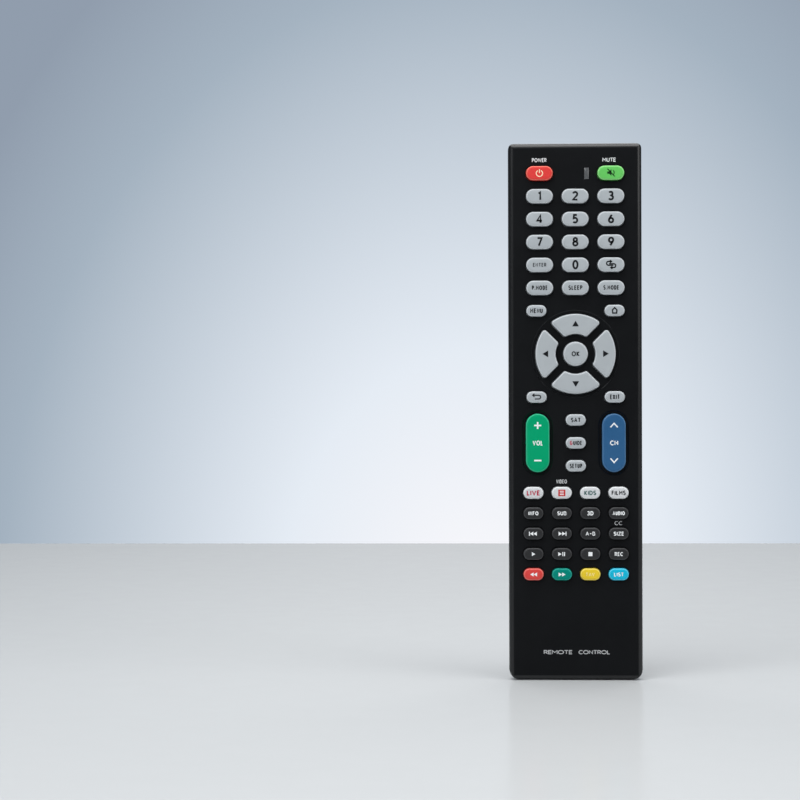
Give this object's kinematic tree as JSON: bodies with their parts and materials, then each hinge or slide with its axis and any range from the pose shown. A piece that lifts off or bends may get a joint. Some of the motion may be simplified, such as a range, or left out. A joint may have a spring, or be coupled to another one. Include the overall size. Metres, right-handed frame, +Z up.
{
  "type": "universal remote control",
  "caption": "Slim upright-standing television remote control with pill keys, a ring of arrow keys, two long rockers, a rounded back and a hinged battery cover over two cells.",
  "frame": {"origin": "middle of the standing end, on the surface that it stands on", "axes": "+Z up along the length, +X to the right of the key face, keys facing -Y"},
  "size_m": [0.0494, 0.0202, 0.1995],
  "materials": {
    "case": "satin",
    "window": "gloss",
    "mat": "matte",
    "board": "satin",
    "cell": "satin",
    "contact": "satin",
    "screw": "satin",
    "key_grey": "matte",
    "key_white": "matte",
    "key_dark": "matte",
    "key_power": "matte",
    "key_mute": "matte",
    "rocker_green": "matte",
    "rocker_blue": "matte",
    "key_red": "matte",
    "key_green": "matte",
    "key_yellow": "matte",
    "key_blue": "matte"
  },
  "bodies": {
    "case": {"front_shell": "case", "rear_shell": "case", "infrared_window": "window", "keypad_mat": "mat", "circuit_board": "board", "batteries": "cell", "battery_contacts": "contact", "screws": "screw"},
    "battery_cover": {"battery_cover": "case"},
    "digit_1_key": {"digit_1_key": "key_grey"},
    "digit_2_key": {"digit_2_key": "key_grey"},
    "digit_3_key": {"digit_3_key": "key_grey"},
    "digit_4_key": {"digit_4_key": "key_grey"},
    "digit_5_key": {"digit_5_key": "key_grey"},
    "digit_6_key": {"digit_6_key": "key_grey"},
    "digit_7_key": {"digit_7_key": "key_grey"},
    "digit_8_key": {"digit_8_key": "key_grey"},
    "digit_9_key": {"digit_9_key": "key_grey"},
    "enter_key": {"enter_key": "key_grey"},
    "digit_0_key": {"digit_0_key": "key_grey"},
    "recall_key": {"recall_key": "key_grey"},
    "picture_key": {"picture_key": "key_grey"},
    "sleep_key": {"sleep_key": "key_grey"},
    "sound_key": {"sound_key": "key_grey"},
    "menu_key": {"menu_key": "key_grey"},
    "home_key": {"home_key": "key_grey"},
    "return_key": {"return_key": "key_grey"},
    "exit_key": {"exit_key": "key_grey"},
    "up_key": {"up_key": "key_grey"},
    "left_key": {"left_key": "key_grey"},
    "down_key": {"down_key": "key_grey"},
    "right_key": {"right_key": "key_grey"},
    "ok_key": {"ok_key": "key_grey"},
    "satellite_key": {"satellite_key": "key_grey"},
    "guide_key": {"guide_key": "key_grey"},
    "setup_key": {"setup_key": "key_grey"},
    "app_1_key": {"app_1_key": "key_white"},
    "app_2_key": {"app_2_key": "key_white"},
    "app_3_key": {"app_3_key": "key_white"},
    "app_4_key": {"app_4_key": "key_white"},
    "info_key": {"info_key": "key_dark"},
    "subtitle_key": {"subtitle_key": "key_dark"},
    "screen_key": {"screen_key": "key_dark"},
    "audio_key": {"audio_key": "key_dark"},
    "previous_key": {"previous_key": "key_dark"},
    "next_key": {"next_key": "key_dark"},
    "repeat_key": {"repeat_key": "key_dark"},
    "format_key": {"format_key": "key_dark"},
    "play_key": {"play_key": "key_dark"},
    "pause_key": {"pause_key": "key_dark"},
    "stop_key": {"stop_key": "key_dark"},
    "record_key": {"record_key": "key_dark"},
    "power_key": {"power_key": "key_power"},
    "mute_key": {"mute_key": "key_mute"},
    "volume_rocker": {"volume_rocker": "rocker_green"},
    "channel_rocker": {"channel_rocker": "rocker_blue"},
    "red_key": {"red_key": "key_red"},
    "green_key": {"green_key": "key_green"},
    "yellow_key": {"yellow_key": "key_yellow"},
    "blue_key": {"blue_key": "key_blue"}
  },
  "joints": [
    {"name": "battery_cover_open", "type": "hinge", "parent": "case", "child": "battery_cover", "pos_m": [0, 0.0101, 0.005], "axis": [-1, 0, 0], "range_deg": [0, 70]},
    {"name": "volume_rock", "type": "hinge", "parent": "case", "child": "volume_rocker", "pos_m": [-0.0141, -0.00585, 0.0882], "axis": [-1, 0, 0], "range_deg": [-3.5, 3.5], "stiffness_Nm_per_rad": 0.2},
    {"name": "channel_rock", "type": "hinge", "parent": "case", "child": "channel_rocker", "pos_m": [0.0141, -0.00585, 0.0882], "axis": [-1, 0, 0], "range_deg": [-3.5, 3.5], "stiffness_Nm_per_rad": 0.2},
    {"name": "up_press", "type": "slide", "parent": "case", "child": "up_key", "axis": [0, 1, 0], "range_m": [0, 0.0008], "stiffness_N_per_m": 1200},
    {"name": "left_press", "type": "slide", "parent": "case", "child": "left_key", "axis": [0, 1, 0], "range_m": [0, 0.0008], "stiffness_N_per_m": 1200},
    {"name": "down_press", "type": "slide", "parent": "case", "child": "down_key", "axis": [0, 1, 0], "range_m": [0, 0.0008], "stiffness_N_per_m": 1200},
    {"name": "right_press", "type": "slide", "parent": "case", "child": "right_key", "axis": [0, 1, 0], "range_m": [0, 0.0008], "stiffness_N_per_m": 1200},
    {"name": "ok_press", "type": "slide", "parent": "case", "child": "ok_key", "axis": [0, 1, 0], "range_m": [0, 0.0008], "stiffness_N_per_m": 1200},
    {"name": "power_press", "type": "slide", "parent": "case", "child": "power_key", "axis": [0, 1, 0], "range_m": [0, 0.0008], "stiffness_N_per_m": 1200},
    {"name": "mute_press", "type": "slide", "parent": "case", "child": "mute_key", "axis": [0, 1, 0], "range_m": [0, 0.0008], "stiffness_N_per_m": 1200},
    {"name": "menu_press", "type": "slide", "parent": "case", "child": "menu_key", "axis": [0, 1, 0], "range_m": [0, 0.0008], "stiffness_N_per_m": 1200},
    {"name": "home_press", "type": "slide", "parent": "case", "child": "home_key", "axis": [0, 1, 0], "range_m": [0, 0.0008], "stiffness_N_per_m": 1200},
    {"name": "return_press", "type": "slide", "parent": "case", "child": "return_key", "axis": [0, 1, 0], "range_m": [0, 0.0008], "stiffness_N_per_m": 1200},
    {"name": "exit_press", "type": "slide", "parent": "case", "child": "exit_key", "axis": [0, 1, 0], "range_m": [0, 0.0008], "stiffness_N_per_m": 1200},
    {"name": "satellite_press", "type": "slide", "parent": "case", "child": "satellite_key", "axis": [0, 1, 0], "range_m": [0, 0.0008], "stiffness_N_per_m": 1200},
    {"name": "guide_press", "type": "slide", "parent": "case", "child": "guide_key", "axis": [0, 1, 0], "range_m": [0, 0.0008], "stiffness_N_per_m": 1200},
    {"name": "setup_press", "type": "slide", "parent": "case", "child": "setup_key", "axis": [0, 1, 0], "range_m": [0, 0.0008], "stiffness_N_per_m": 1200},
    {"name": "digit_1_press", "type": "slide", "parent": "case", "child": "digit_1_key", "axis": [0, 1, 0], "range_m": [0, 0.0008], "stiffness_N_per_m": 1200},
    {"name": "digit_2_press", "type": "slide", "parent": "case", "child": "digit_2_key", "axis": [0, 1, 0], "range_m": [0, 0.0008], "stiffness_N_per_m": 1200},
    {"name": "digit_3_press", "type": "slide", "parent": "case", "child": "digit_3_key", "axis": [0, 1, 0], "range_m": [0, 0.0008], "stiffness_N_per_m": 1200},
    {"name": "digit_4_press", "type": "slide", "parent": "case", "child": "digit_4_key", "axis": [0, 1, 0], "range_m": [0, 0.0008], "stiffness_N_per_m": 1200},
    {"name": "digit_5_press", "type": "slide", "parent": "case", "child": "digit_5_key", "axis": [0, 1, 0], "range_m": [0, 0.0008], "stiffness_N_per_m": 1200},
    {"name": "digit_6_press", "type": "slide", "parent": "case", "child": "digit_6_key", "axis": [0, 1, 0], "range_m": [0, 0.0008], "stiffness_N_per_m": 1200},
    {"name": "digit_7_press", "type": "slide", "parent": "case", "child": "digit_7_key", "axis": [0, 1, 0], "range_m": [0, 0.0008], "stiffness_N_per_m": 1200},
    {"name": "digit_8_press", "type": "slide", "parent": "case", "child": "digit_8_key", "axis": [0, 1, 0], "range_m": [0, 0.0008], "stiffness_N_per_m": 1200},
    {"name": "digit_9_press", "type": "slide", "parent": "case", "child": "digit_9_key", "axis": [0, 1, 0], "range_m": [0, 0.0008], "stiffness_N_per_m": 1200},
    {"name": "enter_press", "type": "slide", "parent": "case", "child": "enter_key", "axis": [0, 1, 0], "range_m": [0, 0.0008], "stiffness_N_per_m": 1200},
    {"name": "digit_0_press", "type": "slide", "parent": "case", "child": "digit_0_key", "axis": [0, 1, 0], "range_m": [0, 0.0008], "stiffness_N_per_m": 1200},
    {"name": "recall_press", "type": "slide", "parent": "case", "child": "recall_key", "axis": [0, 1, 0], "range_m": [0, 0.0008], "stiffness_N_per_m": 1200},
    {"name": "picture_press", "type": "slide", "parent": "case", "child": "picture_key", "axis": [0, 1, 0], "range_m": [0, 0.0008], "stiffness_N_per_m": 1200},
    {"name": "sleep_press", "type": "slide", "parent": "case", "child": "sleep_key", "axis": [0, 1, 0], "range_m": [0, 0.0008], "stiffness_N_per_m": 1200},
    {"name": "sound_press", "type": "slide", "parent": "case", "child": "sound_key", "axis": [0, 1, 0], "range_m": [0, 0.0008], "stiffness_N_per_m": 1200},
    {"name": "app_1_press", "type": "slide", "parent": "case", "child": "app_1_key", "axis": [0, 1, 0], "range_m": [0, 0.0008], "stiffness_N_per_m": 1200},
    {"name": "app_2_press", "type": "slide", "parent": "case", "child": "app_2_key", "axis": [0, 1, 0], "range_m": [0, 0.0008], "stiffness_N_per_m": 1200},
    {"name": "app_3_press", "type": "slide", "parent": "case", "child": "app_3_key", "axis": [0, 1, 0], "range_m": [0, 0.0008], "stiffness_N_per_m": 1200},
    {"name": "app_4_press", "type": "slide", "parent": "case", "child": "app_4_key", "axis": [0, 1, 0], "range_m": [0, 0.0008], "stiffness_N_per_m": 1200},
    {"name": "info_press", "type": "slide", "parent": "case", "child": "info_key", "axis": [0, 1, 0], "range_m": [0, 0.0008], "stiffness_N_per_m": 1200},
    {"name": "subtitle_press", "type": "slide", "parent": "case", "child": "subtitle_key", "axis": [0, 1, 0], "range_m": [0, 0.0008], "stiffness_N_per_m": 1200},
    {"name": "screen_press", "type": "slide", "parent": "case", "child": "screen_key", "axis": [0, 1, 0], "range_m": [0, 0.0008], "stiffness_N_per_m": 1200},
    {"name": "audio_press", "type": "slide", "parent": "case", "child": "audio_key", "axis": [0, 1, 0], "range_m": [0, 0.0008], "stiffness_N_per_m": 1200},
    {"name": "previous_press", "type": "slide", "parent": "case", "child": "previous_key", "axis": [0, 1, 0], "range_m": [0, 0.0008], "stiffness_N_per_m": 1200},
    {"name": "next_press", "type": "slide", "parent": "case", "child": "next_key", "axis": [0, 1, 0], "range_m": [0, 0.0008], "stiffness_N_per_m": 1200},
    {"name": "repeat_press", "type": "slide", "parent": "case", "child": "repeat_key", "axis": [0, 1, 0], "range_m": [0, 0.0008], "stiffness_N_per_m": 1200},
    {"name": "format_press", "type": "slide", "parent": "case", "child": "format_key", "axis": [0, 1, 0], "range_m": [0, 0.0008], "stiffness_N_per_m": 1200},
    {"name": "play_press", "type": "slide", "parent": "case", "child": "play_key", "axis": [0, 1, 0], "range_m": [0, 0.0008], "stiffness_N_per_m": 1200},
    {"name": "pause_press", "type": "slide", "parent": "case", "child": "pause_key", "axis": [0, 1, 0], "range_m": [0, 0.0008], "stiffness_N_per_m": 1200},
    {"name": "stop_press", "type": "slide", "parent": "case", "child": "stop_key", "axis": [0, 1, 0], "range_m": [0, 0.0008], "stiffness_N_per_m": 1200},
    {"name": "record_press", "type": "slide", "parent": "case", "child": "record_key", "axis": [0, 1, 0], "range_m": [0, 0.0008], "stiffness_N_per_m": 1200},
    {"name": "red_press", "type": "slide", "parent": "case", "child": "red_key", "axis": [0, 1, 0], "range_m": [0, 0.0008], "stiffness_N_per_m": 1200},
    {"name": "green_press", "type": "slide", "parent": "case", "child": "green_key", "axis": [0, 1, 0], "range_m": [0, 0.0008], "stiffness_N_per_m": 1200},
    {"name": "yellow_press", "type": "slide", "parent": "case", "child": "yellow_key", "axis": [0, 1, 0], "range_m": [0, 0.0008], "stiffness_N_per_m": 1200},
    {"name": "blue_press", "type": "slide", "parent": "case", "child": "blue_key", "axis": [0, 1, 0], "range_m": [0, 0.0008], "stiffness_N_per_m": 1200}
  ]
}
